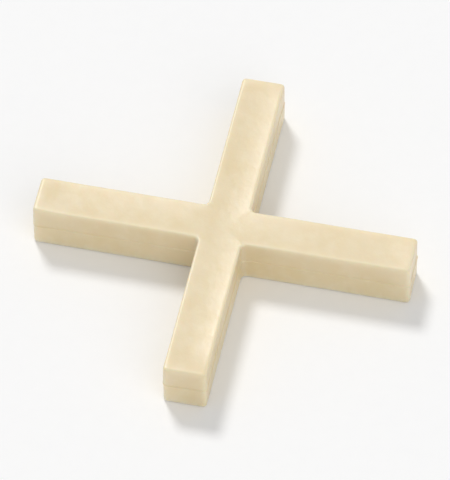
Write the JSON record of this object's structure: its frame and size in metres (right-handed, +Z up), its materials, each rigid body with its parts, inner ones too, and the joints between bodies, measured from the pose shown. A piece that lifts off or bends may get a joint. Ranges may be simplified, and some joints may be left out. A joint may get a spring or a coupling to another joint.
{
  "type": "tile spacer",
  "caption": "Moulded plastic cross with four equal straight arms that keeps a 3 mm joint between floor or wall tiles.",
  "frame": {"origin": "on the underside, at the middle of the cross", "axes": "+Z up through the thickness; the arms lie along X and Y, and the gate is in the end of the +Y arm"},
  "size_m": [0.026, 0.026, 0.0034],
  "materials": {
    "natural_plastic": "satin, natural cream polyolefin, slightly translucent"
  },
  "bodies": {
    "root": {"cross": "natural_plastic"}
  },
  "joints": []
}
